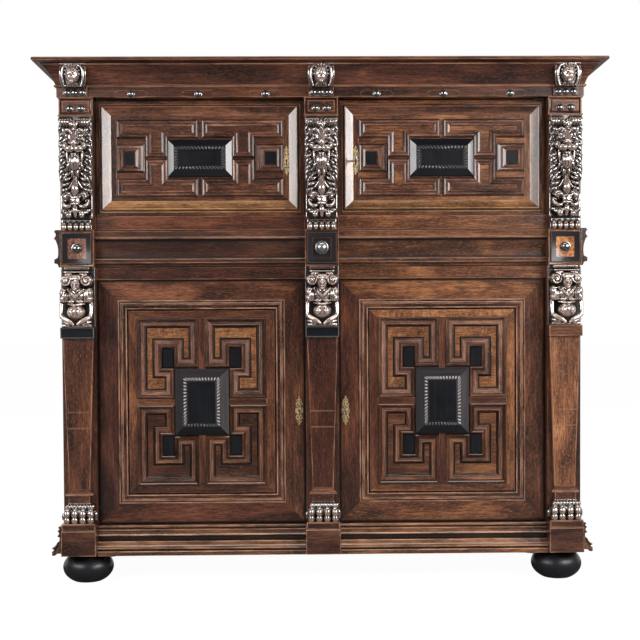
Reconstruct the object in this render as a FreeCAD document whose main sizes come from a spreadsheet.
import FreeCAD, Part
import math
import os
import re

import Sketcher

# A two-tier cabinet with four doors between three carved posts.
# X runs from left to right, the doors face -Y, Z is up from the floor.
# The origin is the middle of the footprint, on the floor. Lengths are in millimetres.

# Driving sizes
SIZES = {
    # Whole cabinet
    "overall_wide": 1948,
    "overall_deep": 660,
    "cornice_reach": 69,
    "pilaster_reach": 50,
    "frieze_lap": 6,
    # Feet
    "foot_tall": 110,
    "foot_radius": 85,
    "foot_flat_radius": 48,
    "foot_neck_radius": 58,
    "foot_collar_radius": 66,
    "foot_collar_tall": 15,
    "foot_bulge_radius": 50,
    "foot_inset": 70,
    "foot_wall_gap": 4,
    "corner_block_wide": 128,
    # Heights of the tiers
    "base_tall": 96,
    "lower_opening_tall": 855,
    "waist_tall": 218,
    "upper_opening_tall": 404,
    "frieze_tall": 41,
    "cove_tall": 64,
    "cornice_top_tall": 17,
    # Boards
    "post_wide": 116,
    "post_reach": 30,
    "post_deep": 82,
    "side_thick": 24,
    "back_thick": 12,
    "board_thick": 24,
    "shelf_thick": 20,
    "shelf_setback": 20,
    "lower_shelf_rise": 420,
    "upper_shelf_rise": 200,
    # Mouldings of the plinth, forward of the door plane
    "plinth_fascia_reach": 44,
    "plinth_fascia_tall": 12,
    "plinth_ovolo_reach": 38,
    "plinth_ovolo_tall": 30,
    "plinth_groove_reach": 18,
    "plinth_groove_tall": 17,
    "plinth_torus_reach": 24,
    "plinth_torus_tall": 26,
    "plinth_torus_radius": 13.5,
    # Mouldings of the waist, forward of the door plane
    "waist_band_reach": 4,
    "waist_band_tall": 42,
    "waist_nose_reach": 24,
    "waist_nose_tall": 34,
    "waist_nose_slope": 14,
    "waist_hollow_reach": 8,
    "waist_hollow_top_reach": 20,
    "waist_hollow_tall": 63,
    "waist_hollow_radius": 90,
    "waist_torus_reach": 24,
    "waist_torus_tall": 32,
    "waist_torus_radius": 17,
    "waist_rail_reach": 18,
    # Cornice
    "cove_reach": 44,
    "cove_radius": 120,
    "cornice_fillet_tall": 11,
    "cornice_ovolo_radius": 60,
    # Carved column, from the bottom
    "plinth_block_overhang": 1.5,
    "plinth_block_reach": 80,
    "plinth_block_tall": 87,
    "plinth_step_reach": 76,
    "plinth_step_tall": 24,
    "paw_wide": 112,
    "paw_reach": 78,
    "paw_tall": 57,
    "toe_radius": 15,
    "neck_wide": 74,
    "neck_reach": 58,
    "neck_tall": 37,
    "shaft_collar_wide": 92,
    "shaft_collar_reach": 54,
    "shaft_collar_tall": 20,
    "shaft_top_wide": 105,
    "shaft_foot_wide": 72,
    "shaft_reach": 46,
    "ledge_reach": 62,
    "ledge_tall": 38,
    "figure_tall": 207,
    "figure_reach": 88,
    "figure_back_thick": 8,
    "figure_head_radius": 20,
    "figure_head_half_tall": 27,
    "figure_head_drop": 46,
    "figure_body_radius": 32,
    "figure_body_half_deep": 46,
    "figure_body_half_tall": 78,
    "figure_body_rise": 83,
    "figure_knee_tall": 40,
    "scroll_radius": 20,
    "scroll_drop": 6,
    "scroll_spread": 36,
    "arm_radius": 11,
    "arm_spread": 46,
    "waist_block_reach": 50,
    "waist_block_tall": 127,
    "lion_top_wide": 114,
    "lion_foot_wide": 100,
    "lion_back_thick": 24,
    "lion_head_drop": 88,
    "lion_head_wide": 104,
    "lion_head_tall": 124,
    "lion_head_deep": 90,
    "lion_muzzle_drop": 118,
    "lion_muzzle_radius": 24,
    "lion_reach": 92,
    "lion_toe_tall": 34,
    "lion_toe_reach": 66,
    "lion_crest_rise": 140,
    "lion_crest_tall": 190,
    "lion_crest_wide": 60,
    "lion_crest_deep": 62,
    "stud_block_tall": 63,
    "stud_block_reach": 50,
    "stud_block_wide": 112,
    # Head brackets on the cove
    "bracket_wide": 88,
    "bracket_foot_wide": 70,
    "bracket_drop": 10,
    "bracket_foot_reach": 26,
    "bracket_top_reach": 56,
    "bracket_head_radius": 26,
    "bracket_head_half_tall": 34,
    # Ebony studs, knobs and frames
    "stud_radius": 11.5,
    "frieze_stud_spacing": 230,
    "frieze_stud_drop": 31,
    "bracket_stud_spacing": 26,
    "block_stud_spacing": 38,
    "block_stud_drop": 39,
    "side_knob_radius": 15,
    "centre_knob_radius": 20,
    "knob_neck_radius": 6,
    "knob_neck_length": 8,
    "ebony_frame_wide": 102,
    "ebony_frame_tall": 108,
    "ebony_frame_band": 19,
    "ebony_frame_thick": 6,
    "ebony_frame_slope": 5,
    # Doors
    "door_gap": 1.5,
    "door_thick": 26,
    "rebate_front": 8,
    "rebate_wide": 12,
    "panel_back_setback": 4,
    "panel_fit": 0.5,
    "recess_deep": 6,
    "lower_stile": 72,
    "lower_rail": 75,
    "lower_moulding_wide": 33,
    "lower_moulding_tall": 6,
    "lower_moulding_slope": 8,
    "upper_stile": 71,
    "upper_rail": 67,
    "bolection_inset": 16,
    "bolection_wide": 34,
    "bolection_tall": 16,
    "bolection_rise": 13,
    "bolection_crown": 4,
    # Lower panels: four hooked fields round a boss
    "hook_side_margin": 31,
    "hook_end_margin": 25,
    "hook_gap_half": 11.5,
    "lower_boss_half_wide": 94,
    "lower_boss_half_tall": 116.5,
    "lower_plaque_wide": 39,
    "lower_plaque_tall": 67,
    "lower_boss_slope": 30,
    "boss_rise": 16,
    "plaque_rise": 1,
    "hook_clear": 4,
    # Upper panels: four T fields, two framed squares, a boss
    "tee_gap_half": 6.5,
    "tee_bar_tall": 60,
    "tee_stem_wide": 70,
    "tee_square_gap": 41,
    "tee_stem_gap_half": 2,
    "upper_boss_half_wide": 113,
    "upper_boss_half_tall": 65,
    "upper_boss_slope": 38,
    "square_half_tall": 31,
    "square_margin": 27,
    "square_wide": 35,
    # Escutcheons, locks and keys
    "plate_wide": 20,
    "plate_tall": 102,
    "plate_thick": 2,
    "keyhole_radius": 4,
    "keyhole_slot_wide": 4,
    "keyhole_slot_tall": 17,
    "lower_keyhole_inset": 21.5,
    "upper_keyhole_inset": 60.5,
    "lower_keyhole_rise": 394,
    "upper_keyhole_rise": 193,
    "lock_wide": 96,
    "lock_deep": 22,
    "lock_drop": 22,
    "lock_rise": 38,
    "lock_wall": 2,
    "bolt_rise": 17,
    "bolt_tall": 14,
    "bolt_thick": 10,
    "bolt_length": 72,
    "bolt_setback": 1,
    "bolt_throw": 12,
    "bolt_fit": 0.2,
    "bolt_lift": 4,
    "mortise_fit": 0.5,
    "key_radius": 3,
    "key_reach": 34,
    "key_bow_radius": 12,
    "key_bow_thick": 2.5,
    "key_bit_wide": 3,
    "key_bit_tall": 12,
    "key_bit_deep": 10,
    "key_end_gap": 3,
    # Pivots
    "lower_pin_inset": 14,
    "lower_pin_behind": 6,
    "upper_pin_inset": 8,
    "upper_pin_before": 12,
    "pin_radius": 3,
    "pin_seat": 16,
    "pin_tip": 3,
    "pin_fit": 0.05,
    "pivot_thick": 3,
    "pivot_lap": 34,
    "pivot_deep": 14,
    "pivot_ear": 6,
    # One overrun for every cut
    "overrun": 2,
}

# Places that follow from the sizes
PLACES = {
    "front_edge": "-overall_deep / 2",
    "back_edge": "overall_deep / 2",
    "frieze_face": "front_edge + cornice_reach",
    "door_plane": "frieze_face + pilaster_reach",
    "post_face": "door_plane - post_reach",
    "post_back": "post_face + post_deep",
    "back_face": "back_edge - back_thick",
    "frieze_half": "overall_wide / 2 - cornice_reach",
    "post_outer": "frieze_half - frieze_lap",
    "post_inner": "post_outer - post_wide",
    "post_centre": "post_outer - post_wide / 2",
    "side_inner": "post_outer - side_thick",
    "door_outer": "post_inner - door_gap",
    "door_inner": "post_wide / 2 + door_gap",
    "door_centre": "(door_outer + door_inner) / 2",
    "door_back": "door_plane + door_thick",
    "base_top": "foot_tall + base_tall",
    "waist_bottom": "base_top + lower_opening_tall",
    "waist_top": "waist_bottom + waist_tall",
    "frieze_bottom": "waist_top + upper_opening_tall",
    "cove_bottom": "frieze_bottom + frieze_tall",
    "cornice_bottom": "cove_bottom + cove_tall",
    "overall_tall": "cornice_bottom + cornice_top_tall",
    "lower_door_bottom": "base_top + door_gap",
    "lower_door_top": "waist_bottom - door_gap",
    "lower_door_middle": "(lower_door_bottom + lower_door_top) / 2",
    "upper_door_bottom": "waist_top + door_gap",
    "upper_door_top": "frieze_bottom - door_gap",
    "upper_door_middle": "(upper_door_bottom + upper_door_top) / 2",
    "plinth_block_wide": "post_wide + 2 * plinth_block_overhang",
    "plinth_block_top": "foot_tall + plinth_block_tall",
    "plinth_step_top": "plinth_block_top + plinth_step_tall",
    "paw_top": "plinth_step_top + paw_tall",
    "neck_top": "paw_top + neck_tall",
    "collar_top": "neck_top + shaft_collar_tall",
    "waist_block_bottom": "waist_bottom + waist_band_tall",
    "waist_block_top": "waist_block_bottom + waist_block_tall",
    "figure_bottom": "waist_block_bottom - figure_tall",
    "ledge_bottom": "figure_bottom - ledge_tall",
    "stud_block_bottom": "frieze_bottom - stud_block_tall",
    "stud_height": "cove_bottom - frieze_stud_drop",
    "lower_keyhole_side": "door_inner + lower_keyhole_inset",
    "upper_keyhole_side": "door_inner + upper_keyhole_inset",
    "lower_keyhole_height": "base_top + lower_keyhole_rise",
    "upper_keyhole_height": "waist_top + upper_keyhole_rise",
    "mortise_floor": "door_inner + bolt_setback - bolt_throw - mortise_fit",
    "lower_pin_line": "door_plane + lower_pin_behind",
    "upper_pin_line": "door_plane - upper_pin_before",
    "lower_pin_side": "door_outer - lower_pin_inset",
    "upper_pin_side": "door_outer - upper_pin_inset",
}

document = FreeCAD.newDocument("Buffet")
sizes = document.addObject("Spreadsheet::Sheet", "Sizes")
places = document.addObject("Spreadsheet::Sheet", "Places")
for row, (alias, amount) in enumerate(SIZES.items(), start=1):
    sizes.set(f"A{row}", alias)
    sizes.set(f"B{row}", str(amount))
    sizes.setAlias(f"B{row}", alias)


def linked(formula):
    """Turn the plain names in a formula into cells of the two sheets."""
    def cell(match):
        word = match.group(0)
        if word in SIZES:
            return "Sizes." + word
        if word in PLACES:
            return "Places." + word
        return word
    return re.sub(r"[a-z][a-z_]*", cell, formula)


for row, (alias, formula) in enumerate(PLACES.items(), start=1):
    places.set(f"A{row}", alias)
    places.set(f"B{row}", "=" + linked(formula).replace("Places.", ""))
    places.setAlias(f"B{row}", alias)
document.recompute()


def amount_of(formula):
    """The number that a formula gives with the present sizes."""
    return float(places.evalExpression(linked(formula)))


def bind(item, **formulas):
    """Bind properties of an object to formulas."""
    for name, formula in formulas.items():
        item.setExpression(name, linked(formula))


def put(item, x, y, z):
    """Bind the place of an object."""
    item.setExpression(".Placement.Base.x", linked(x))
    item.setExpression(".Placement.Base.y", linked(y))
    item.setExpression(".Placement.Base.z", linked(z))


def turned(item, axis):
    """Turn an object that runs along Z so that it runs along another axis."""
    turns = {
        "x": FreeCAD.Rotation(FreeCAD.Vector(0, 1, 0), 90),
        "y": FreeCAD.Rotation(FreeCAD.Vector(1, 0, 0), -90),
        "forward": FreeCAD.Rotation(FreeCAD.Vector(1, 0, 0), 90),
    }
    if axis in turns:
        item.Placement = FreeCAD.Placement(FreeCAD.Vector(0, 0, 0), turns[axis])


def box(label, x, y, z):
    """A block between pairs of places."""
    item = document.addObject("Part::Box", label)
    bind(item, Length=f"{x[1]} - ({x[0]})", Width=f"{y[1]} - ({y[0]})", Height=f"{z[1]} - ({z[0]})")
    put(item, x[0], y[0], z[0])
    return item


def frustum(label, y, front_x, front_z, back_x, back_z):
    """A block whose front face and back face differ in size."""
    item = document.addObject("Part::Wedge", label)
    bind(item, Ymin=y[0], Ymax=y[1])
    bind(item, Xmin=front_x[0], Xmax=front_x[1], Zmin=front_z[0], Zmax=front_z[1])
    bind(item, X2min=back_x[0], X2max=back_x[1], Z2min=back_z[0], Z2max=back_z[1])
    return item


def cylinder(label, radius, length, start, axis):
    item = document.addObject("Part::Cylinder", label)
    bind(item, Radius=radius, Height=length)
    turned(item, axis)
    put(item, *start)
    return item


def egg(label, half_wide, half_deep, half_tall, centre):
    """An ellipsoid. Radius1 is along Z, Radius2 along X, Radius3 along Y."""
    item = document.addObject("Part::Ellipsoid", label)
    bind(item, Radius1=half_tall, Radius2=half_wide, Radius3=half_deep)
    put(item, *centre)
    return item


def half_ball(label, radius, centre):
    """A half ball whose round side faces forward."""
    item = document.addObject("Part::Sphere", label)
    item.Angle1 = 0
    bind(item, Radius=radius)
    turned(item, "forward")
    put(item, *centre)
    return item


def ring(label, radius, thick, centre):
    """A ring that lies in the plane of the key."""
    item = document.addObject("Part::Torus", label)
    bind(item, Radius1=radius, Radius2=thick)
    turned(item, "x")
    put(item, *centre)
    return item


def fused(label, members):
    item = document.addObject("Part::MultiFuse", label)
    item.Shapes = members
    return item


def group(label, members):
    """Separate solids that share one node."""
    item = document.addObject("Part::Compound", label)
    item.Links = members
    return item


def cut(label, base, tools):
    item = document.addObject("Part::Cut", label)
    item.Base = base
    item.Tool = tools[0] if len(tools) == 1 else fused(label + "_tools", tools)
    return item


def common(label, base, tool):
    item = document.addObject("Part::Common", label)
    item.Base = base
    item.Tool = tool
    return item


def origin_plane(body, role):
    for feature in body.Origin.OriginFeatures:
        if feature.Role == role:
            return feature
    raise ValueError(role)


def arc_between(start, end, radius, bulge):
    """An arc from start to end. bulge is 1 when its middle lies left of the way, -1 when right."""
    chord = end - start
    middle = (start + end) * 0.5
    reach = math.sqrt(max(radius * radius - chord.Length * chord.Length / 4, 0))
    left = FreeCAD.Vector(-chord.y, chord.x, 0)
    left.normalize()
    centre = middle - left * (bulge * reach)
    circle = Part.Circle(centre, FreeCAD.Vector(0, 0, 1), radius)
    first = math.atan2(start.y - centre.y, start.x - centre.x)
    last = math.atan2(end.y - centre.y, end.x - centre.x)
    if bulge > 0:
        return Part.ArcOfCircle(circle, last, first)
    return Part.ArcOfCircle(circle, first, last)


def outline(body, role, corners):
    """A closed sketch. A corner is (across, up), or (across, up, radius, bulge) with an arc to the next."""
    sketch = body.newObject("Sketcher::SketchObject", body.Name + "_outline")
    sketch.AttachmentSupport = [(origin_plane(body, role), "")]
    sketch.MapMode = "FlatFace"
    points = [FreeCAD.Vector(amount_of(corner[0]), amount_of(corner[1]), 0) for corner in corners]
    ends = []
    for index, corner in enumerate(corners):
        start = points[index]
        end = points[(index + 1) % len(points)]
        if len(corner) == 2:
            sketch.addGeometry(Part.LineSegment(start, end), False)
            ends.append((1, 2))
        else:
            sketch.addGeometry(arc_between(start, end, amount_of(corner[2]), corner[3]), False)
            ends.append((2, 1) if corner[3] > 0 else (1, 2))
    for index, corner in enumerate(corners):
        following = (index + 1) % len(corners)
        first_end, last_end = ends[index]
        joint = Sketcher.Constraint("Coincident", index, last_end, following, ends[following][0])
        sketch.addConstraint(joint)
        distances = (("DistanceX", corner[0], points[index].x), ("DistanceY", corner[1], points[index].y))
        for kind, formula, amount in distances:
            number = sketch.addConstraint(Sketcher.Constraint(kind, -1, 1, index, first_end, amount))
            sketch.setExpression(f"Constraints[{number}]", linked(formula))
        if len(corner) > 2:
            number = sketch.addConstraint(Sketcher.Constraint("Radius", index, amount_of(corner[2])))
            sketch.setExpression(f"Constraints[{number}]", linked(corner[2]))
    return sketch


def run(label, role, corners, length, start):
    """A profile drawn out along the normal of its plane, from start."""
    body = document.addObject("PartDesign::Body", label)
    sketch = outline(body, role, corners)
    pad = body.newObject("PartDesign::Pad", label + "_pad")
    pad.Profile = sketch
    bind(pad, Length=length)
    put(body, *start)
    return body


def turning(label, corners, start):
    """A profile turned about the upright axis."""
    body = document.addObject("PartDesign::Body", label)
    sketch = outline(body, "XZ_Plane", corners)
    turn = body.newObject("PartDesign::Revolution", label + "_turn")
    turn.Profile = sketch
    turn.ReferenceAxis = (sketch, ["V_Axis"])
    turn.Angle = 360
    put(body, *start)
    return body


def on_side(side, span):
    """A pair of places right of the middle, moved to the left where the side is left."""
    if side == "right":
        return span
    return (f"-({span[1]})", f"-({span[0]})")


def at_side(side, place):
    return place if side == "right" else f"-({place})"


def about(centre, half):
    """The pair of places that lie evenly about a centre."""
    return (f"{centre} - ({half})", f"{centre} + ({half})")


SIDES = ("left", "right")
POST_CENTRES = {"left": "-post_centre", "centre": "0", "right": "post_centre"}
nodes = []


def node(label, item):
    """Name a finished sub-part."""
    item.Label = label
    nodes.append(item)
    return item


# Feet and their glue blocks
def bun_foot(label, x, y):
    corners = [
        ("0", "0"),
        ("foot_flat_radius", "0", "foot_bulge_radius", -1),
        ("foot_neck_radius", "foot_tall - foot_collar_tall"),
        ("foot_collar_radius", "foot_tall - foot_collar_tall"),
        ("foot_collar_radius", "foot_tall"),
        ("0", "foot_tall"),
    ]
    return turning(label, corners, (x, y, "0"))


feet = []
corner_blocks = []
for side in SIDES:
    foot_x = at_side(side, "post_outer - foot_inset")
    for end, foot_y in (("front", "frieze_face + foot_radius"), ("back", "back_edge - foot_radius - foot_wall_gap")):
        feet.append(bun_foot(f"foot_{end}_{side}", foot_x, foot_y))
    block_x = on_side(side, ("side_inner - corner_block_wide", "side_inner"))
    block_z = ("foot_tall", "base_top - board_thick")
    front_y = ("post_back", "post_back + corner_block_wide")
    rear_y = ("back_face - corner_block_wide", "back_face")
    for block_y in (front_y, rear_y):
        corner_blocks.append(box("corner_block", block_x, block_y, block_z))
node("bun_feet", group("bun_feet", feet))
node("corner_blocks", group("corner_blocks", corner_blocks))

# Boards of the case
inside_x = ("-side_inner", "side_inner")
inside_y = ("post_back", "back_face")
shelf_y = ("post_back + shelf_setback", "back_face")
node("bottom_board", box("bottom_board", inside_x, inside_y, ("base_top - board_thick", "base_top")))
node("middle_board", box("middle_board", inside_x, inside_y, ("waist_top - board_thick", "waist_top")))
node("top_board", box("top_board", inside_x, inside_y, ("cove_bottom - board_thick", "cove_bottom")))
lower_shelf_z = ("base_top + lower_shelf_rise - shelf_thick", "base_top + lower_shelf_rise")
node("lower_shelf", box("lower_shelf", inside_x, shelf_y, lower_shelf_z))
upper_shelf_z = ("waist_top + upper_shelf_rise - shelf_thick", "waist_top + upper_shelf_rise")
node("upper_shelf", box("upper_shelf", inside_x, shelf_y, upper_shelf_z))
for side in SIDES:
    side_x = on_side(side, ("side_inner", "post_outer"))
    node(f"{side}_side", box(f"{side}_side", side_x, inside_y, ("foot_tall", "cove_bottom")))
back_x = ("-post_outer", "post_outer")
node("back_panel", box("back_panel", back_x, ("back_face", "back_edge"), ("foot_tall", "cove_bottom")))

# Posts. The centre one has the mortises of the four lock bolts.
post_y = ("post_face", "post_back")
post_z = ("foot_tall", "frieze_bottom")
for side in SIDES:
    node(f"{side}_post", box(f"{side}_post", on_side(side, ("post_inner", "post_outer")), post_y, post_z))
KEYHOLES = {
    "lower": ("lower_keyhole_side", "lower_keyhole_height"),
    "upper": ("upper_keyhole_side", "upper_keyhole_height"),
}
bolt_front = "door_back + bolt_lift"
bolt_back = "door_back + bolt_lift + bolt_thick"
mortises = []
for side in SIDES:
    for tier, (keyhole_side, keyhole_height) in KEYHOLES.items():
        mortise_x = on_side(side, ("mortise_floor", "post_wide / 2 + overrun"))
        mortise_y = (f"{bolt_front} - mortise_fit", f"{bolt_back} + mortise_fit")
        mortise_z = (f"{keyhole_height} + bolt_rise - mortise_fit",
                     f"{keyhole_height} + bolt_rise + bolt_tall + mortise_fit")
        mortises.append(box("mortise", mortise_x, mortise_y, mortise_z))
centre_stock = box("centre_stock", ("-post_wide / 2", "post_wide / 2"), post_y, post_z)
node("centre_post", cut("centre_post", centre_stock, mortises))


# Plinth mouldings: two runs between the blocks and one return on each side
def plinth_corners(back, face, forward):
    """Profile of the plinth. forward is -1 where it points to -Y or -X, 1 where it points to +X."""
    sign = "+" if forward > 0 else "-"
    ovolo_top = "foot_tall + plinth_fascia_tall + plinth_ovolo_tall"
    groove_top = ovolo_top + " + plinth_groove_tall"
    torus_top = groove_top + " + plinth_torus_tall"
    bulge = 1 if forward < 0 else -1
    return [
        (back, "foot_tall"),
        (f"{face} {sign} plinth_fascia_reach", "foot_tall"),
        (f"{face} {sign} plinth_fascia_reach", "foot_tall + plinth_fascia_tall"),
        (f"{face} {sign} plinth_ovolo_reach", "foot_tall + plinth_fascia_tall"),
        (f"{face} {sign} plinth_groove_reach", ovolo_top),
        (f"{face} {sign} plinth_groove_reach", groove_top),
        (f"{face} {sign} plinth_torus_reach", groove_top, "plinth_torus_radius", bulge),
        (f"{face} {sign} plinth_torus_reach", torus_top),
        (f"{face} {sign} plinth_groove_reach", torus_top),
        (f"{face} {sign} plinth_groove_reach", "base_top"),
        (back, "base_top"),
    ]


plinth_members = []
for side in SIDES:
    plinth_x = on_side(side, ("plinth_block_wide / 2", "post_centre - plinth_block_wide / 2"))
    front_corners = plinth_corners("post_back", "door_plane", -1)
    stock = run(f"plinth_front_{side}", "YZ_Plane", front_corners, f"{plinth_x[1]} - ({plinth_x[0]})",
                (plinth_x[0], "0", "0"))
    bore_start = (at_side(side, "lower_pin_side"), "lower_pin_line", "base_top - pin_seat")
    bore = cylinder("bore", "pin_radius + pin_fit", "pin_seat + overrun", bore_start, "z")
    plinth_members.append(cut(f"plinth_run_{side}", stock, [bore]))
    outward = 1 if side == "right" else -1
    side_corners = plinth_corners(at_side(side, "post_outer"), at_side(side, "post_outer"), outward)
    plinth_members.append(run(f"plinth_return_{side}", "XZ_Plane", side_corners, "back_edge - post_face",
                              ("0", "back_edge", "0")))
node("plinth_moulding", group("plinth_moulding", plinth_members))


# Waist: lower band, nose, hollow frieze, torus and upper rail
def waist_corners(back, face, forward):
    sign = "+" if forward > 0 else "-"
    bulge = 1 if forward < 0 else -1
    nose_bottom = "waist_bottom + waist_band_tall"
    nose_top = nose_bottom + " + waist_nose_tall"
    hollow_top = nose_top + " + waist_hollow_tall"
    torus_top = hollow_top + " + waist_torus_tall"
    return [
        (back, nose_bottom),
        (f"{face} {sign} waist_hollow_reach", nose_bottom),
        (f"{face} {sign} waist_nose_reach", f"{nose_bottom} + waist_nose_slope"),
        (f"{face} {sign} waist_nose_reach", nose_top),
        (f"{face} {sign} waist_hollow_reach", nose_top, "waist_hollow_radius", -bulge),
        (f"{face} {sign} waist_hollow_top_reach", hollow_top),
        (f"{face} {sign} waist_torus_reach", hollow_top, "waist_torus_radius", bulge),
        (f"{face} {sign} waist_torus_reach", torus_top),
        (back, torus_top),
    ]


waist_members = []
torus_top = "waist_bottom + waist_band_tall + waist_nose_tall + waist_hollow_tall + waist_torus_tall"
for side in SIDES:
    waist_x = on_side(side, ("post_wide / 2", "post_inner"))
    moulded = run(f"waist_front_{side}", "YZ_Plane", waist_corners("post_back", "door_plane", -1),
                  f"{waist_x[1]} - ({waist_x[0]})", (waist_x[0], "0", "0"))
    band = box("waist_band_stock", waist_x, ("door_plane - waist_band_reach", "post_back"),
               ("waist_bottom", "waist_bottom + waist_band_tall"))
    rail = box("waist_rail_stock", waist_x, ("door_plane - waist_rail_reach", "post_back"),
               (torus_top, "waist_top"))
    lower_start = (at_side(side, "lower_pin_side"), "lower_pin_line", "waist_bottom - overrun")
    upper_start = (at_side(side, "upper_pin_side"), "upper_pin_line", "waist_top - pin_seat")
    bores = [cylinder("bore", "pin_radius + pin_fit", "pin_seat + overrun", start, "z")
             for start in (lower_start, upper_start)]
    waist_members.append(cut(f"waist_{side}", fused(f"waist_stock_{side}", [moulded, band, rail]), bores))
    outward = 1 if side == "right" else -1
    side_corners = waist_corners(at_side(side, "post_outer"), at_side(side, "post_outer"), outward)
    waist_members.append(run(f"waist_return_{side}", "XZ_Plane", side_corners, "back_edge - post_face",
                             ("0", "back_edge", "0")))
node("waist_rail", group("waist_rail", waist_members))

# Frieze, cove and cornice top
frieze_z = ("frieze_bottom", "cove_bottom")
frieze_stock = box("frieze_stock", ("-frieze_half", "frieze_half"), ("frieze_face", "post_back"), frieze_z)
frieze_bores = []
for side in SIDES:
    bore_start = (at_side(side, "upper_pin_side"), "upper_pin_line", "frieze_bottom - overrun")
    frieze_bores.append(cylinder("bore", "pin_radius + pin_fit", "pin_seat + overrun", bore_start, "z"))
frieze_members = [cut("frieze_front", frieze_stock, frieze_bores)]
for side in SIDES:
    strip_x = on_side(side, ("post_outer", "frieze_half"))
    frieze_members.append(box("frieze_side", strip_x, ("post_back", "back_edge"), frieze_z))
node("frieze_rail", group("frieze_rail", frieze_members))


def hipped(label, front_corners, side_corners, half):
    """A moulding with mitred front corners: where two straight runs meet."""
    along = run(label + "_along", "YZ_Plane", front_corners, f"2 * ({half})", (f"-({half})", "0", "0"))
    across = run(label + "_across", "XZ_Plane", side_corners, "overall_deep", ("0", "back_edge", "0"))
    return common(label, along, across)


cove_outer_half = "frieze_half + cove_reach"
cove_front = [
    ("back_edge", "cove_bottom"),
    ("frieze_face", "cove_bottom", "cove_radius", 1),
    ("frieze_face - cove_reach", "cornice_bottom"),
    ("back_edge", "cornice_bottom"),
]
cove_sides = [
    ("-frieze_half", "cove_bottom"),
    ("frieze_half", "cove_bottom", "cove_radius", -1),
    (cove_outer_half, "cornice_bottom"),
    (f"-({cove_outer_half})", "cornice_bottom", "cove_radius", -1),
]
cove = node("cornice_cove", hipped("cornice_cove", cove_front, cove_sides, cove_outer_half))
fillet_bottom = "overall_tall - cornice_fillet_tall"
cornice_front = [
    ("back_edge", "cornice_bottom"),
    ("frieze_face - cove_reach", "cornice_bottom", "cornice_ovolo_radius", 1),
    ("front_edge", fillet_bottom),
    ("front_edge", "overall_tall"),
    ("back_edge", "overall_tall"),
]
cornice_sides = [
    (f"-({cove_outer_half})", "cornice_bottom"),
    (cove_outer_half, "cornice_bottom", "cornice_ovolo_radius", -1),
    ("overall_wide / 2", fillet_bottom),
    ("overall_wide / 2", "overall_tall"),
    ("-overall_wide / 2", "overall_tall"),
    ("-overall_wide / 2", fillet_bottom, "cornice_ovolo_radius", -1),
]
node("cornice_top", hipped("cornice_top", cornice_front, cornice_sides, "overall_wide / 2"))


# Carved column on each post
def reach(name):
    """Front and back of a piece that stands on the face of the posts."""
    return (f"door_plane - {name}", "post_face")


def column_block(centre, wide, reach_name, bottom, top):
    return box("column_block", about(centre, f"{wide} / 2"), reach(reach_name), (bottom, top))


def row_of_blocks(label, wide, reach_name, bottom, top):
    """One plain block on each post, as one node."""
    blocks = [column_block(centre, wide, reach_name, bottom, top) for centre in POST_CENTRES.values()]
    return node(label, group(label, blocks))


def in_front_of_post(label, centre, members):
    """Members fused, less what lies behind the face of the posts."""
    behind = box("behind", about(centre, "post_wide"), ("post_face", "back_edge"),
                 ("foot_tall", "overall_tall"))
    return cut(label, fused(label + "_solid", members), [behind])


plinth_blocks = []
for centre in POST_CENTRES.values():
    low = column_block(centre, "plinth_block_wide", "plinth_block_reach", "foot_tall", "plinth_block_top")
    step = column_block(centre, "post_wide", "plinth_step_reach", "plinth_block_top", "plinth_step_top")
    plinth_blocks.append(fused("plinth_block", [low, step]))
node("plinth_blocks", group("plinth_blocks", plinth_blocks))

TOE_SHARES = (-0.375, -0.125, 0.125, 0.375)
paws = []
for centre in POST_CENTRES.values():
    palm_y = ("door_plane - paw_reach + toe_radius", "post_face")
    palm_z = ("plinth_step_top", "plinth_step_top + paw_tall * 3 / 5")
    palm = box("palm", about(centre, "paw_wide / 2 - toe_radius / 2"), palm_y, palm_z)
    neck = column_block(centre, "neck_wide", "neck_reach", "plinth_step_top", "neck_top")
    toes = []
    for share in TOE_SHARES:
        toe_start = (f"{centre} + ({share}) * paw_wide", "post_face", "plinth_step_top + toe_radius")
        toes.append(cylinder("toe", "toe_radius", "paw_reach - post_reach", toe_start, "forward"))
    paws.append(fused("paw", [palm, neck] + toes))
node("lion_paws", group("lion_paws", paws))

shafts = []
for centre in POST_CENTRES.values():
    collar = column_block(centre, "shaft_collar_wide", "shaft_collar_reach", "neck_top", "collar_top")
    taper = [
        (f"{centre} - shaft_foot_wide / 2", "collar_top"),
        (f"{centre} + shaft_foot_wide / 2", "collar_top"),
        (f"{centre} + shaft_top_wide / 2", "ledge_bottom"),
        (f"{centre} - shaft_top_wide / 2", "ledge_bottom"),
    ]
    shaft = run("shaft", "XZ_Plane", taper, "shaft_reach - post_reach", ("0", "post_face", "0"))
    shafts.append(fused("tapered_shaft", [collar, shaft]))
node("tapered_shafts", group("tapered_shafts", shafts))

row_of_blocks("ledges", "post_wide", "ledge_reach", "ledge_bottom", "figure_bottom")

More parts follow.
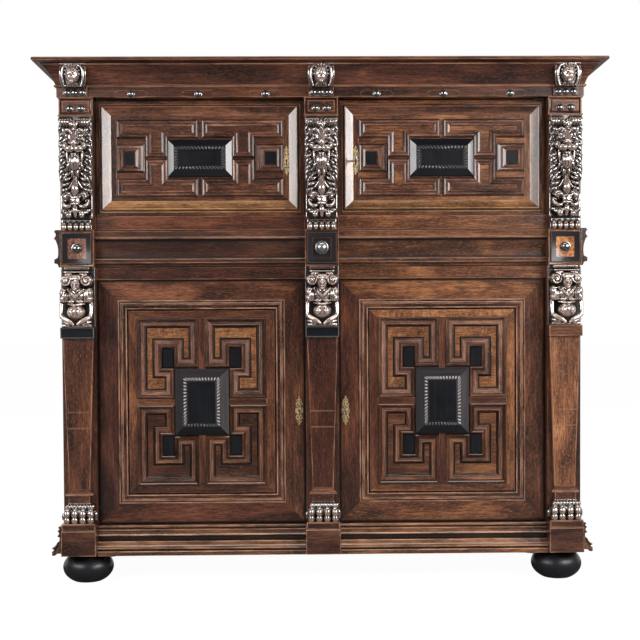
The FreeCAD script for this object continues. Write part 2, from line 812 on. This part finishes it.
figures = []
scroll_height = "waist_block_bottom - scroll_radius - scroll_drop"
scroll_length = "figure_reach - post_reach - scroll_radius / 2"
arm_line = "door_plane - figure_reach / 2 - arm_radius / 2"
arm_length = "figure_tall - 2 * scroll_radius"
for centre in POST_CENTRES.values():
    backing = box("backing", about(centre, "post_wide / 2"), ("post_face - figure_back_thick", "post_face"),
                  ("figure_bottom", "waist_block_bottom"))
    members = [backing]
    for sign in ("-", "+"):
        scroll_start = (f"{centre} {sign} scroll_spread", "post_face", scroll_height)
        members.append(cylinder("scroll", "scroll_radius", scroll_length, scroll_start, "forward"))
        arm_start = (f"{centre} {sign} arm_spread", arm_line, "figure_bottom")
        members.append(cylinder("arm", "arm_radius", arm_length, arm_start, "z"))
    head_centre = (centre, "door_plane - figure_reach + figure_head_radius",
                   "waist_block_bottom - figure_head_drop")
    members.append(egg("head", "figure_head_radius", "figure_head_radius", "figure_head_half_tall",
                       head_centre))
    trunk_centre = (centre, "post_face - figure_back_thick", "figure_bottom + figure_body_rise")
    members.append(egg("trunk", "figure_body_radius", "figure_body_half_deep", "figure_body_half_tall",
                       trunk_centre))
    members.append(box("knees", about(centre, "post_wide / 2 - arm_radius / 2"), reach("ledge_reach"),
                       ("figure_bottom", "figure_bottom + figure_knee_tall")))
    figures.append(in_front_of_post("figure", centre, members))
node("carved_figures", group("carved_figures", figures))

row_of_blocks("waist_blocks", "post_wide", "waist_block_reach", "waist_block_bottom", "waist_block_top")

frame_middle = "(waist_block_bottom + waist_block_top) / 2"
ebony_frames = []
for centre in POST_CENTRES.values():
    outer_x = about(centre, "ebony_frame_wide / 2")
    outer_z = about(frame_middle, "ebony_frame_tall / 2")
    crown_x = about(centre, "ebony_frame_wide / 2 - ebony_frame_slope")
    crown_z = about(frame_middle, "ebony_frame_tall / 2 - ebony_frame_slope")
    frame_y = ("door_plane - waist_block_reach - ebony_frame_thick", "door_plane - waist_block_reach")
    stock = frustum("frame_stock", frame_y, crown_x, crown_z, outer_x, outer_z)
    hole_y = (f"{frame_y[0]} - overrun", f"{frame_y[1]} + overrun")
    hole = box("frame_hole", about(centre, "ebony_frame_wide / 2 - ebony_frame_band"), hole_y,
               about(frame_middle, "ebony_frame_tall / 2 - ebony_frame_band"))
    ebony_frames.append(cut("ebony_frame", stock, [hole]))
node("ebony_frames", group("ebony_frames", ebony_frames))

lions = []
for centre in POST_CENTRES.values():
    taper = [
        (f"{centre} - lion_foot_wide / 2", "waist_block_top"),
        (f"{centre} + lion_foot_wide / 2", "waist_block_top"),
        (f"{centre} + lion_top_wide / 2", "stud_block_bottom"),
        (f"{centre} - lion_top_wide / 2", "stud_block_bottom"),
    ]
    backing = run("mane", "XZ_Plane", taper, "lion_back_thick", ("0", "post_face", "0"))
    head = egg("head", "lion_head_wide / 2", "lion_head_deep / 2", "lion_head_tall / 2",
               (centre, "post_face - lion_back_thick / 2", "stud_block_bottom - lion_head_drop"))
    muzzle_centre = (centre, "door_plane - lion_reach + lion_muzzle_radius",
                     "stud_block_bottom - lion_muzzle_drop")
    muzzle = egg("muzzle", "lion_muzzle_radius", "lion_muzzle_radius", "lion_muzzle_radius", muzzle_centre)
    crest = egg("crest", "lion_crest_wide / 2", "lion_crest_deep / 2", "lion_crest_tall / 2",
                (centre, "post_face - lion_back_thick / 2", "waist_block_top + lion_crest_rise"))
    toes = column_block(centre, "lion_foot_wide", "lion_toe_reach", "waist_block_top",
                        "waist_block_top + lion_toe_tall")
    lions.append(in_front_of_post("lion", centre, [backing, head, muzzle, crest, toes]))
node("lion_herms", group("lion_herms", lions))

row_of_blocks("stud_blocks", "stud_block_wide", "stud_block_reach", "stud_block_bottom", "frieze_bottom")

brackets = []
for centre in POST_CENTRES.values():
    bracket_z = ("cove_bottom - bracket_drop", "cornice_bottom")
    veil = run("veil", "YZ_Plane", [
        ("frieze_face", bracket_z[0]),
        ("frieze_face", bracket_z[1]),
        ("frieze_face - bracket_top_reach", bracket_z[1]),
        ("frieze_face - bracket_foot_reach", bracket_z[0]),
    ], "bracket_foot_wide", (f"{centre} - bracket_foot_wide / 2", "0", "0"))
    head = egg("head", "bracket_wide / 2", "bracket_head_radius", "bracket_head_half_tall",
               (centre, "frieze_face - bracket_foot_reach", "cornice_bottom - bracket_head_half_tall"))
    solid = fused("bracket_solid", [veil, head])
    wall = box("wall", about(centre, "post_wide"), ("frieze_face", "back_edge"), ("0", "overall_tall"))
    brackets.append(cut("bracket", solid, [cove, wall]))
node("head_brackets", group("head_brackets", brackets))

# Ebony half balls on the frieze and on the stud blocks, knobs on the waist blocks
studs = []
for centre in POST_CENTRES.values():
    for step in (-1, 0, 1):
        place = (f"{centre} + ({step}) * bracket_stud_spacing", "frieze_face", "stud_height")
        studs.append(half_ball("stud", "stud_radius", place))
    for sign in ("-", "+"):
        place = (f"{centre} {sign} block_stud_spacing / 2", "door_plane - stud_block_reach",
                 "frieze_bottom - block_stud_drop")
        studs.append(half_ball("stud", "stud_radius", place))
for side in SIDES:
    for step in (-1, 0, 1):
        bay = at_side(side, "post_centre / 2")
        place = (f"{bay} + ({step}) * frieze_stud_spacing", "frieze_face", "stud_height")
        studs.append(half_ball("stud", "stud_radius", place))
for name, centre in POST_CENTRES.items():
    radius = "centre_knob_radius" if name == "centre" else "side_knob_radius"
    neck = cylinder("knob_neck", "knob_neck_radius", "knob_neck_length + overrun",
                    (centre, "door_plane - waist_block_reach", frame_middle), "forward")
    head_place = (centre, "door_plane - waist_block_reach - knob_neck_length", frame_middle)
    head = half_ball("knob_head", radius, head_place)
    studs.append(fused("knob", [neck, head]))
node("ebony_studs", group("ebony_studs", studs))

# Hinge pins, fixed in the rails above and below each door
pins = []
for side in SIDES:
    lower_x = at_side(side, "lower_pin_side")
    upper_x = at_side(side, "upper_pin_side")
    pin_reach = "pin_seat + door_gap + pivot_thick + pin_tip"
    for start in (
        (lower_x, "lower_pin_line", "base_top - pin_seat"),
        (lower_x, "lower_pin_line", "waist_bottom - door_gap - pivot_thick - pin_tip"),
        (upper_x, "upper_pin_line", "waist_top - pin_seat"),
        (upper_x, "upper_pin_line", "frieze_bottom - door_gap - pivot_thick - pin_tip"),
    ):
        pins.append(cylinder("pin", "pin_radius", pin_reach, start, "z"))
node("hinge_pins", group("hinge_pins", pins))

# Doors
TIERS = {
    "lower": {"stile": "lower_stile + lower_moulding_wide", "rail": "lower_rail + lower_moulding_wide"},
    "upper": {"stile": "upper_stile", "rail": "upper_rail"},
}


def door_spans(tier, inset_x, inset_z, side):
    """Width and height of a rectangle that lies inside a door by two insets."""
    span_x = on_side(side, (f"door_inner + {inset_x}", f"door_outer - ({inset_x})"))
    return span_x, (f"{tier}_door_bottom + {inset_z}", f"{tier}_door_top - ({inset_z})")


def raised_ring(tier, side, inset, slopes, tall, inner_insets):
    """A mitred moulding on the door frame: a low frustum with a sloping hole."""
    outer_slope, inner_slope = slopes
    outer_x, outer_z = door_spans(tier, inset[0], inset[1], side)
    crown_x, crown_z = door_spans(tier, f"{inset[0]} + {outer_slope}", f"{inset[1]} + {outer_slope}", side)
    ring_y = (f"door_plane - {tall}", "door_plane")
    stock = frustum("ring_stock", ring_y, crown_x, crown_z, outer_x, outer_z)
    inner_x, inner_z = door_spans(tier, inner_insets[0], inner_insets[1], side)
    lip_x, lip_z = door_spans(tier, f"{inner_insets[0]} - {inner_slope}",
                              f"{inner_insets[1]} - {inner_slope}", side)
    hole = frustum("ring_hole", ring_y, lip_x, lip_z, inner_x, inner_z)
    return cut("ring", stock, [hole])


def keyhole(tier, side, depth):
    """The round hole and the slot that a key passes through."""
    keyhole_side, keyhole_height = KEYHOLES[tier]
    centre = at_side(side, keyhole_side)
    start = (centre, depth[0], keyhole_height)
    round_hole = cylinder("keyhole_round", "keyhole_radius", f"{depth[1]} - ({depth[0]})", start, "y")
    slot = box("keyhole_slot", about(centre, "keyhole_slot_wide / 2"), depth,
               (f"{keyhole_height} - keyhole_slot_tall", keyhole_height))
    return [round_hole, slot]


def pivot_spans(tier, side, end):
    """Block of the iron plate that is let into the top or bottom edge of a door."""
    pin_side = f"{tier}_pin_side"
    plate_x = on_side(side, (f"{pin_side} - pivot_lap", f"{pin_side} + pivot_ear"))
    plate_y = (f"{tier}_pin_line - pivot_ear", "door_plane + pivot_deep")
    if tier == "lower":
        plate_y = ("door_plane", "door_plane + pivot_deep")
    if end == "top":
        return plate_x, plate_y, (f"{tier}_door_top - pivot_thick", f"{tier}_door_top")
    return plate_x, plate_y, (f"{tier}_door_bottom", f"{tier}_door_bottom + pivot_thick")


def door_frame(tier, side):
    label = f"{tier}_{side}_frame"
    stile = TIERS[tier]["stile"]
    rail = TIERS[tier]["rail"]
    outer_x, outer_z = door_spans(tier, "0", "0", side)
    stock = box("frame_stock", outer_x, ("door_plane", "door_back"), outer_z)
    through_y = ("door_plane - bolection_tall - overrun", "door_back + overrun")
    hole_x, hole_z = door_spans(tier, stile, rail, side)
    hole = box("frame_hole", hole_x, through_y, hole_z)
    rebate_x, rebate_z = door_spans(tier, f"{stile} - rebate_wide", f"{rail} - rebate_wide", side)
    rebate = box("rebate", rebate_x, ("door_plane + rebate_front", "door_back + overrun"), rebate_z)
    if tier == "lower":
        slopes = ("lower_moulding_slope", "lower_moulding_slope")
        moulding = raised_ring(tier, side, ("lower_stile", "lower_rail"), slopes, "lower_moulding_tall",
                               (stile, rail))
    else:
        inner = "bolection_inset + bolection_wide"
        slopes = ("bolection_rise", "(bolection_wide - bolection_rise - bolection_crown)")
        moulding = raised_ring(tier, side, ("bolection_inset", "bolection_inset"), slopes, "bolection_tall",
                               (inner, inner))
    cuts = [hole, rebate] + keyhole(tier, side, through_y)
    pin_bore_length = "pivot_thick + pin_tip + 2 * overrun"
    pin_bore_bottoms = {
        "bottom": f"{tier}_door_bottom - overrun",
        "top": f"{tier}_door_top - pivot_thick - pin_tip - overrun",
    }
    for end, pin_bore_bottom in pin_bore_bottoms.items():
        plate_x, plate_y, plate_z = pivot_spans(tier, side, end)
        cuts.append(box("pivot_seat", plate_x, plate_y, plate_z))
        start = (at_side(side, f"{tier}_pin_side"), f"{tier}_pin_line", pin_bore_bottom)
        cuts.append(cylinder("pin_clearance", "pin_radius + door_gap", pin_bore_length, start, "z"))
    return node(label, cut(label, fused("moulded_frame", [stock, moulding]), cuts))


def offset_span(middle, direction, near, far):
    """The pair of places from near to far of a middle. direction is -1 or 1."""
    if direction > 0:
        return (f"{middle} + {near}", f"{middle} + {far}")
    return (f"{middle} - ({far})", f"{middle} - ({near})")


QUARTERS = ((-1, -1), (-1, 1), (1, -1), (1, 1))
panel_half_wide = {}
panel_half_tall = {}
for tier, members in TIERS.items():
    panel_half_wide[tier] = f"((door_outer - door_inner) / 2 - ({members['stile']}))"
    panel_half_tall[tier] = f"(({tier}_door_top - {tier}_door_bottom) / 2 - ({members['rail']}))"
square_far = panel_half_wide["upper"] + " - square_margin"
square_near = square_far + " - square_wide"


def field_boxes(tier):
    """Near and far corners of the boxes that make one recessed field, from the panel's middle."""
    if tier == "upper":
        bar_bottom = f"{panel_half_tall[tier]} - tee_bar_tall"
        bar_end = (f"{panel_half_wide[tier]} - hook_clear", f"{panel_half_tall[tier]} - hook_clear")
        stem_far = f"{square_near} - tee_square_gap"
        stem_near = f"{stem_far} - tee_stem_wide"
        return [
            (("tee_gap_half", bar_bottom), bar_end),
            ((stem_near, "tee_stem_gap_half"), (stem_far, f"{bar_bottom} + hook_clear")),
        ]
    hook_outer = (f"{panel_half_wide[tier]} - hook_side_margin", f"{panel_half_tall[tier]} - hook_end_margin")
    plaque_near_x = "lower_boss_half_wide + hook_clear"
    plaque_far_x = "lower_boss_half_wide + hook_clear + lower_plaque_wide"
    plaque_near_z = "lower_boss_half_tall + hook_clear"
    plaque_far_z = "lower_boss_half_tall + hook_clear + lower_plaque_tall"
    return [
        (("hook_gap_half", plaque_far_z), hook_outer),
        (("hook_gap_half", plaque_near_z), ("lower_boss_half_wide", f"{plaque_far_z} + hook_clear")),
        ((plaque_far_x, "hook_gap_half"), (hook_outer[0], f"{plaque_far_z} + hook_clear")),
        ((plaque_near_x, "hook_gap_half"), (f"{plaque_far_x} + hook_clear", "lower_boss_half_tall")),
    ]


def door_panel(tier, side):
    label = f"{tier}_{side}_panel"
    stile = TIERS[tier]["stile"]
    rail = TIERS[tier]["rail"]
    tongue_x, tongue_z = door_spans(tier, f"{stile} - rebate_wide + panel_fit",
                                    f"{rail} - rebate_wide + panel_fit", side)
    tongue_y = ("door_plane + rebate_front", "door_back - panel_back_setback")
    tongue = box("tongue", tongue_x, tongue_y, tongue_z)
    face_x, face_z = door_spans(tier, f"{stile} + panel_fit", f"{rail} + panel_fit", side)
    face = box("face", face_x, ("door_plane", "door_plane + rebate_front"), face_z)
    recess_y = ("door_plane - overrun", "door_plane + recess_deep")
    recesses = keyhole(tier, side, ("door_plane - overrun", "door_back"))
    for across, up in QUARTERS:
        for near, far in field_boxes(tier):
            span_x = offset_span(at_side(side, "door_centre"), across, near[0], far[0])
            span_z = offset_span(f"{tier}_door_middle", up, near[1], far[1])
            recesses.append(box("recess", span_x, recess_y, span_z))
    return node(label, cut(label, fused("panel_stock", [tongue, face]), recesses))


def door_ebony(tier, side):
    """The raised boss and the small plaques, which lie on the face of the panel."""
    label = f"{tier}_{side}_ebony"
    middle_x = at_side(side, "door_centre")
    middle_z = f"{tier}_door_middle"
    boss_y = ("door_plane - boss_rise", "door_plane")
    half_wide = f"{tier}_boss_half_wide"
    half_tall = f"{tier}_boss_half_tall"
    boss = frustum("boss", boss_y, about(middle_x, f"{half_wide} - {tier}_boss_slope"),
                   about(middle_z, f"{half_tall} - {tier}_boss_slope"), about(middle_x, half_wide),
                   about(middle_z, half_tall))
    members = [boss]
    plaque_y = ("door_plane - plaque_rise", "door_plane")
    if tier == "lower":
        near = ("lower_boss_half_wide + hook_clear", "lower_boss_half_tall + hook_clear")
        far = (f"{near[0]} + lower_plaque_wide", f"{near[1]} + lower_plaque_tall")
        for across, up in QUARTERS:
            span_x = offset_span(middle_x, across, near[0], far[0])
            members.append(box("plaque", span_x, plaque_y, offset_span(middle_z, up, near[1], far[1])))
    else:
        for across in (-1, 1):
            span_x = offset_span(middle_x, across, square_near, square_far)
            members.append(box("plaque", span_x, plaque_y, about(middle_z, "square_half_tall")))
    return node(label, group(label, members))


def escutcheon(tier, side):
    label = f"{tier}_{side}_escutcheon"
    keyhole_side, keyhole_height = KEYHOLES[tier]
    centre = at_side(side, keyhole_side)
    plate_y = ("door_plane - plate_thick", "door_plane")
    plate = box("plate", about(centre, "plate_wide / 2"), plate_y, about(keyhole_height, "plate_tall / 2"))
    holes = keyhole(tier, side, ("door_plane - plate_thick - overrun", "door_plane + overrun"))
    return node(label, cut(label, plate, holes))


def lock(tier, side):
    """A rim lock on the back of the stile: an open case and its sliding bolt."""
    keyhole_side, keyhole_height = KEYHOLES[tier]
    case_x = on_side(side, ("door_inner", "door_inner + lock_wide"))
    case_z = (f"{keyhole_height} - lock_drop", f"{keyhole_height} + lock_rise")
    case = box("case_stock", case_x, ("door_back", "door_back + lock_deep"), case_z)
    hollow_x = on_side(side, ("door_inner + lock_wall", "door_inner + lock_wide - lock_wall"))
    hollow = box("case_hollow", hollow_x, ("door_back - overrun", "door_back + lock_deep - lock_wall"),
                 (f"{case_z[0]} + lock_wall", f"{case_z[1]} - lock_wall"))
    bolt_z = (f"{keyhole_height} + bolt_rise", f"{keyhole_height} + bolt_rise + bolt_tall")
    slot_x = on_side(side, ("door_inner - overrun", "door_inner + lock_wall + overrun"))
    slot = box("bolt_slot", slot_x, (f"{bolt_front} - bolt_fit", f"{bolt_back} + bolt_fit"),
               (f"{bolt_z[0]} - bolt_fit", f"{bolt_z[1]} + bolt_fit"))
    node(f"{tier}_{side}_lock_case", cut(f"{tier}_{side}_lock_case", case, [hollow, slot]))
    bolt_x = on_side(side, ("door_inner + bolt_setback", "door_inner + bolt_setback + bolt_length"))
    node(f"{tier}_{side}_lock_bolt", box(f"{tier}_{side}_lock_bolt", bolt_x, (bolt_front, bolt_back), bolt_z))


def key(tier, side):
    keyhole_side, keyhole_height = KEYHOLES[tier]
    centre = at_side(side, keyhole_side)
    tip = "door_back + lock_deep - lock_wall - key_end_gap"
    length = f"{tip} - door_plane + key_reach"
    stem = cylinder("stem", "key_radius", length, (centre, tip, keyhole_height), "forward")
    bow = ring("bow", "key_bow_radius", "key_bow_thick",
               (centre, "door_plane - key_reach - key_bow_radius", keyhole_height))
    bit = box("bit", about(centre, "key_bit_wide / 2"), (f"{tip} - key_bit_deep", tip),
              (f"{keyhole_height} - key_bit_tall - key_radius / 2", keyhole_height))
    return node(f"{tier}_{side}_key", fused(f"{tier}_{side}_key", [stem, bow, bit]))


def pivots(tier, side):
    """Iron plates at the top and bottom edge, each with an eye for a pin."""
    plates = []
    for end in ("bottom", "top"):
        plate_x, plate_y, plate_z = pivot_spans(tier, side, end)
        plate = box("pivot", plate_x, plate_y, plate_z)
        start = (at_side(side, f"{tier}_pin_side"), f"{tier}_pin_line", f"{plate_z[0]} - overrun")
        eye = cylinder("eye", "pin_radius + pin_fit", "pivot_thick + 2 * overrun", start, "z")
        plates.append(cut("pivot_plate", plate, [eye]))
    return node(f"{tier}_{side}_pivots", group(f"{tier}_{side}_pivots", plates))


for tier in ("lower", "upper"):
    for side in SIDES:
        door_frame(tier, side)
        door_panel(tier, side)
        door_ebony(tier, side)
        escutcheon(tier, side)
        lock(tier, side)
        pivots(tier, side)
    key(tier, "right")

# Build, test and write
document.recompute()
faults = [item.Label for item in document.Objects if "Invalid" in item.State or "Error" in item.State]
if faults:
    raise RuntimeError("objects with an error: " + ", ".join(faults))
for item in nodes:
    if item.Shape.isNull() or not item.Shape.isValid():
        raise RuntimeError("bad shape: " + item.Label)
os.makedirs("parts", exist_ok=True)
for item in nodes:
    item.Shape.exportStep(f"parts/{item.Label}.step")
print(len(nodes), "nodes", sum(len(item.Shape.Solids) for item in nodes), "solids")
